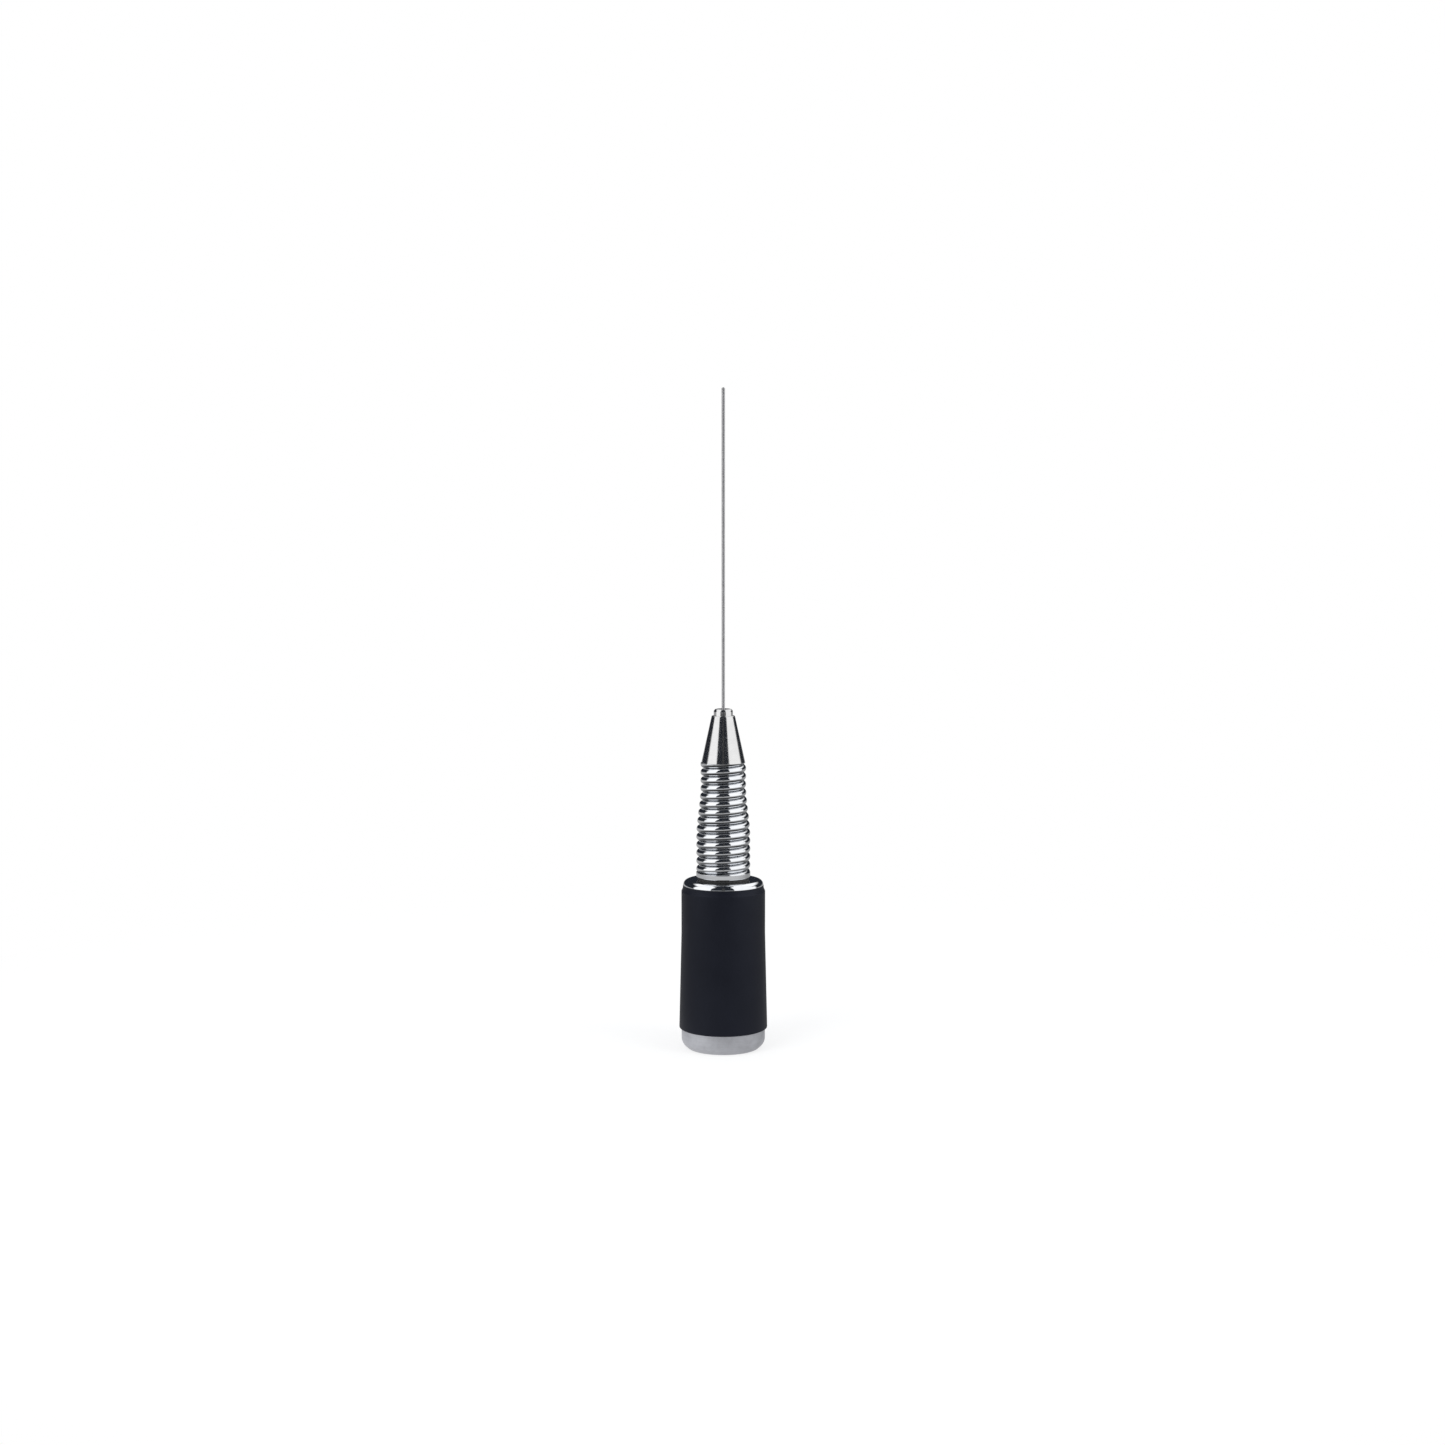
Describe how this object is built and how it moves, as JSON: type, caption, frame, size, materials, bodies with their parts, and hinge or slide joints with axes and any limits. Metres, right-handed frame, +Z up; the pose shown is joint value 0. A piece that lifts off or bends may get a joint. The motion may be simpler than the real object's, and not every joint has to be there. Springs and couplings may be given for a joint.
{
  "type": "omnidirectional antenna",
  "caption": "Base-loaded mobile whip antenna: threaded metal base ring, black coil housing, chrome cap, tapered shock spring, cone and straight steel whip.",
  "frame": {"origin": "centre of the base ring's underside, on the antenna's axis", "axes": "+Z up along the whip; the set screws face +Y, away from the usual view along +Y"},
  "size_m": [0.038, 0.038, 0.2822],
  "materials": {
    "satin_nickel": "satin plated, finely turned",
    "black_abs": "satin moulded, near black",
    "chrome_plate": "bright chrome plate",
    "stainless_wire": "drawn and centreless ground",
    "seal_rubber": "matt black nitrile",
    "natural_nylon": "matt moulded, off-white",
    "glass_filled_nylon": "matt moulded, dark grey",
    "zinc_screw": "bright zinc plate",
    "turned_brass": "turned, unlacquered",
    "gold_flash": "gold flash over nickel",
    "spring_steel": "bare wire",
    "enamelled_copper": "enamelled copper, gloss",
    "tinned_braid": "tinned copper braid",
    "black_oxide": "black oxide, oiled"
  },
  "bodies": {
    "housing": {"base_ring": "satin_nickel", "mount_gasket": "seal_rubber", "contact_insulator": "natural_nylon", "insulator_screws": "zinc_screw", "contact_barrel": "turned_brass", "contact_spring": "spring_steel", "coil_form": "glass_filled_nylon", "loading_coil": "enamelled_copper", "ground_lead": "enamelled_copper", "top_lead": "enamelled_copper", "feed_lead": "enamelled_copper", "form_insert": "turned_brass", "cap_stud": "zinc_screw", "lower_seal": "seal_rubber", "housing_sleeve": "black_abs", "upper_seal": "seal_rubber", "top_cap": "chrome_plate", "plug_washer": "seal_rubber"},
    "contact": {"contact_plunger": "gold_flash"},
    "spring_unit": {"spring_plug": "chrome_plate", "lower_ferrule": "turned_brass", "shock_spring": "chrome_plate", "shunt_braid": "tinned_braid"},
    "whip_holder": {"whip_cone": "chrome_plate", "upper_ferrule": "turned_brass"},
    "lower_screw": {"lower_set_screw": "black_oxide"},
    "upper_screw": {"upper_set_screw": "black_oxide"},
    "whip_rod": {"whip": "stainless_wire"}
  },
  "joints": [
    {"name": "contact_press", "type": "slide", "parent": "housing", "child": "contact", "axis": [0, 0, 1], "range_m": [0, 0.0012], "stiffness_N_per_m": 500, "springref_m": -0.003, "deforming": ["contact_spring"]},
    {"name": "spring_turn", "type": "hinge", "parent": "housing", "child": "spring_unit", "pos_m": [0, 0, 0.073], "axis": [0, 0, 1], "range_deg": [-180, 180]},
    {"name": "spring_bend", "type": "hinge", "parent": "spring_unit", "child": "whip_holder", "pos_m": [-0.0087, 0, 0.1], "axis": [0, -1, 0], "range_deg": [0, 75], "stiffness_Nm_per_rad": 0.76, "springref_deg": -11.46, "deforming": ["shock_spring", "shunt_braid"]},
    {"name": "whip_height", "type": "slide", "parent": "whip_holder", "child": "whip_rod", "axis": [0, 0, 1], "range_m": [0, 0.012]},
    {"name": "lower_screw_travel", "type": "slide", "parent": "whip_holder", "child": "lower_screw", "axis": [0, 1, 0], "range_m": [0, 0.0015]},
    {"name": "upper_screw_travel", "type": "slide", "parent": "whip_holder", "child": "upper_screw", "axis": [0, 1, 0], "range_m": [0, 0.0015]}
  ]
}
